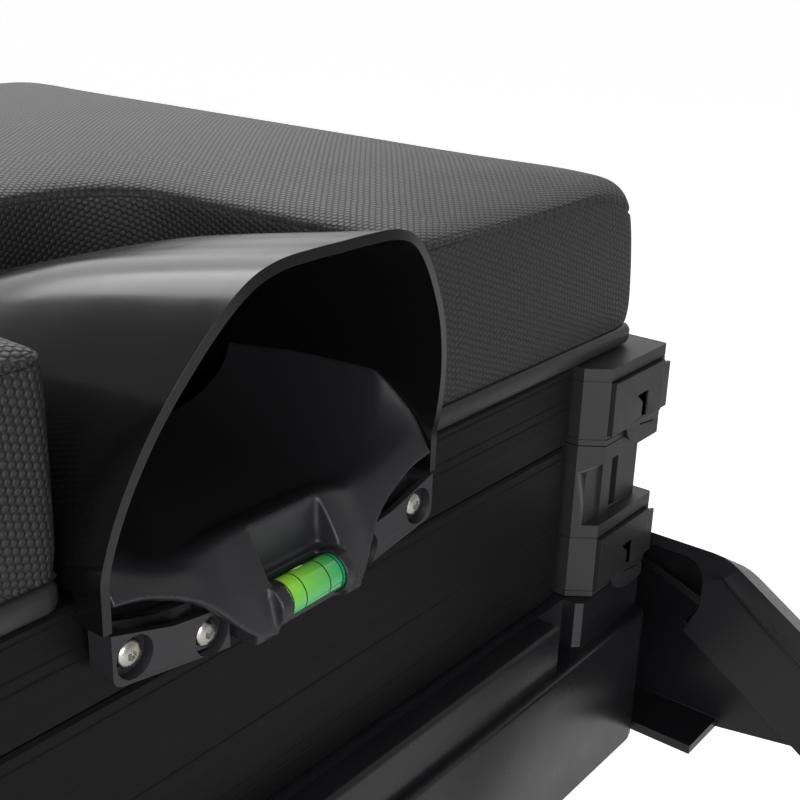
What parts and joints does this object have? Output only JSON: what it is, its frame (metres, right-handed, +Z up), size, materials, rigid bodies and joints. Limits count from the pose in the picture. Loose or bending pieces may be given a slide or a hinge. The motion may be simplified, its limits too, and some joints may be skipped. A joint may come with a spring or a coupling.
{
  "type": "fishing seat box",
  "caption": "Fishing seat box: hinged cushion lid around a moulded pole snug with a level, two clipped tray modules and a chassis with side rails on telescopic legs.",
  "frame": {"origin": "on the ground under the middle of the box, feet at z 0", "axes": "+Z up, -Y towards the snug at the front, +X to the sitter's left when facing forward"},
  "size_m": [0.5322, 0.636, 0.4648],
  "materials": {
    "vinyl": "embossed coated vinyl",
    "board": "satin",
    "hood": "glossy moulded",
    "cup": "satin moulded",
    "liquid": "clear",
    "steel": "bright",
    "panel": "black anodised",
    "tray": "fine grain",
    "post": "fine grain",
    "frame": "fine grain",
    "leg": "anodised",
    "foot": "satin",
    "knob": "satin"
  },
  "bodies": {
    "chassis": {"chassis_frame": "frame", "side_hull_right": "frame", "side_hull_left": "frame"},
    "lower_module": {"lower_panel_front": "panel", "lower_panel_right": "panel", "lower_panel_back": "panel", "lower_panel_left": "panel", "lower_floor": "tray", "lower_post_front_right": "post", "lower_post_front_left": "post", "lower_post_back_right": "post", "lower_post_back_left": "post"},
    "upper_module": {"upper_panel_front": "panel", "upper_panel_right": "panel", "upper_panel_back": "panel", "upper_panel_left": "panel", "upper_floor": "tray", "upper_post_front_right": "post", "upper_post_front_left": "post", "upper_post_back_right": "post", "upper_post_back_left": "post", "snug_hood": "hood", "snug_bracket": "cup", "snug_cup": "cup", "level_vial": "liquid", "snug_screw_outer_left": "steel", "snug_screw_inner_left": "steel", "snug_screw_inner_right": "steel", "snug_screw_outer_right": "steel", "lid_hinge_lower_right": "steel", "lid_hinge_lower_left": "steel", "lid_hinge_pin_right": "steel", "lid_hinge_pin_left": "steel"},
    "lid": {"seat_cushion": "vinyl", "seat_base": "board", "lid_hinge_upper_right": "steel", "lid_hinge_upper_left": "steel"},
    "upper_clip_front_right": {"upper_clip_front_right": "post"},
    "upper_clip_front_left": {"upper_clip_front_left": "post"},
    "upper_clip_back_right": {"upper_clip_back_right": "post"},
    "upper_clip_back_left": {"upper_clip_back_left": "post"},
    "lower_clip_front_right": {"lower_clip_front_right": "post"},
    "lower_clip_front_left": {"lower_clip_front_left": "post"},
    "lower_clip_back_right": {"lower_clip_back_right": "post"},
    "lower_clip_back_left": {"lower_clip_back_left": "post"},
    "leg_front_right": {"leg_front_right": "leg"},
    "foot_front_right": {"foot_front_right": "foot"},
    "knob_front_right": {"leg_knob_front_right": "knob"},
    "leg_front_left": {"leg_front_left": "leg"},
    "foot_front_left": {"foot_front_left": "foot"},
    "knob_front_left": {"leg_knob_front_left": "knob"},
    "leg_back_right": {"leg_back_right": "leg"},
    "foot_back_right": {"foot_back_right": "foot"},
    "knob_back_right": {"leg_knob_back_right": "knob"},
    "leg_back_left": {"leg_back_left": "leg"},
    "foot_back_left": {"foot_back_left": "foot"},
    "knob_back_left": {"leg_knob_back_left": "knob"}
  },
  "joints": [
    {"name": "lower_module_lift", "type": "slide", "parent": "chassis", "child": "lower_module", "axis": [0, 0, 1], "range_m": [0, 0.12]},
    {"name": "upper_module_lift", "type": "slide", "parent": "lower_module", "child": "upper_module", "axis": [0, 0, 1], "range_m": [0, 0.12]},
    {"name": "lid_hinge", "type": "hinge", "parent": "upper_module", "child": "lid", "pos_m": [0, 0.1835, 0.3866], "axis": [-1, 0, 0], "range_deg": [0, 95]},
    {"name": "upper_clip_front_right_hinge", "type": "hinge", "parent": "upper_module", "child": "upper_clip_front_right", "pos_m": [0.1833, -0.1905, 0.3788], "axis": [-1, 0, 0], "range_deg": [0, 80]},
    {"name": "upper_clip_front_left_hinge", "type": "hinge", "parent": "upper_module", "child": "upper_clip_front_left", "pos_m": [-0.1833, -0.1905, 0.3788], "axis": [-1, 0, 0], "range_deg": [0, 80]},
    {"name": "upper_clip_back_right_hinge", "type": "hinge", "parent": "upper_module", "child": "upper_clip_back_right", "pos_m": [0.1833, 0.1905, 0.3788], "axis": [1, 0, 0], "range_deg": [0, 80]},
    {"name": "upper_clip_back_left_hinge", "type": "hinge", "parent": "upper_module", "child": "upper_clip_back_left", "pos_m": [-0.1833, 0.1905, 0.3788], "axis": [1, 0, 0], "range_deg": [0, 80]},
    {"name": "lower_clip_front_right_hinge", "type": "hinge", "parent": "lower_module", "child": "lower_clip_front_right", "pos_m": [0.1833, -0.1905, 0.3164], "axis": [-1, 0, 0], "range_deg": [0, 80]},
    {"name": "lower_clip_front_left_hinge", "type": "hinge", "parent": "lower_module", "child": "lower_clip_front_left", "pos_m": [-0.1833, -0.1905, 0.3164], "axis": [-1, 0, 0], "range_deg": [0, 80]},
    {"name": "lower_clip_back_right_hinge", "type": "hinge", "parent": "lower_module", "child": "lower_clip_back_right", "pos_m": [0.1833, 0.1905, 0.3164], "axis": [1, 0, 0], "range_deg": [0, 80]},
    {"name": "lower_clip_back_left_hinge", "type": "hinge", "parent": "lower_module", "child": "lower_clip_back_left", "pos_m": [-0.1833, 0.1905, 0.3164], "axis": [1, 0, 0], "range_deg": [0, 80]},
    {"name": "leg_front_right_slide", "type": "slide", "parent": "chassis", "child": "leg_front_right", "axis": [0, 0, 1], "range_m": [-0.04, 0.12]},
    {"name": "foot_front_right_tilt", "type": "hinge", "parent": "leg_front_right", "child": "foot_front_right", "pos_m": [0.226, -0.286, 0.034], "axis": [1, 0, 0], "range_deg": [-12, 12]},
    {"name": "leg_knob_front_right_turn", "type": "hinge", "parent": "chassis", "child": "knob_front_right", "pos_m": [0.2485, -0.286, 0.2518], "axis": [1, 0, 0], "range_deg": [0, 270]},
    {"name": "leg_front_left_slide", "type": "slide", "parent": "chassis", "child": "leg_front_left", "axis": [0, 0, 1], "range_m": [-0.04, 0.12]},
    {"name": "foot_front_left_tilt", "type": "hinge", "parent": "leg_front_left", "child": "foot_front_left", "pos_m": [-0.226, -0.286, 0.034], "axis": [1, 0, 0], "range_deg": [-12, 12]},
    {"name": "leg_knob_front_left_turn", "type": "hinge", "parent": "chassis", "child": "knob_front_left", "pos_m": [-0.2485, -0.286, 0.2518], "axis": [-1, 0, 0], "range_deg": [0, 270]},
    {"name": "leg_back_right_slide", "type": "slide", "parent": "chassis", "child": "leg_back_right", "axis": [0, 0, 1], "range_m": [-0.04, 0.12]},
    {"name": "foot_back_right_tilt", "type": "hinge", "parent": "leg_back_right", "child": "foot_back_right", "pos_m": [0.226, 0.286, 0.034], "axis": [1, 0, 0], "range_deg": [-12, 12]},
    {"name": "leg_knob_back_right_turn", "type": "hinge", "parent": "chassis", "child": "knob_back_right", "pos_m": [0.2485, 0.286, 0.2518], "axis": [1, 0, 0], "range_deg": [0, 270]},
    {"name": "leg_back_left_slide", "type": "slide", "parent": "chassis", "child": "leg_back_left", "axis": [0, 0, 1], "range_m": [-0.04, 0.12]},
    {"name": "foot_back_left_tilt", "type": "hinge", "parent": "leg_back_left", "child": "foot_back_left", "pos_m": [-0.226, 0.286, 0.034], "axis": [1, 0, 0], "range_deg": [-12, 12]},
    {"name": "leg_knob_back_left_turn", "type": "hinge", "parent": "chassis", "child": "knob_back_left", "pos_m": [-0.2485, 0.286, 0.2518], "axis": [-1, 0, 0], "range_deg": [0, 270]}
  ]
}
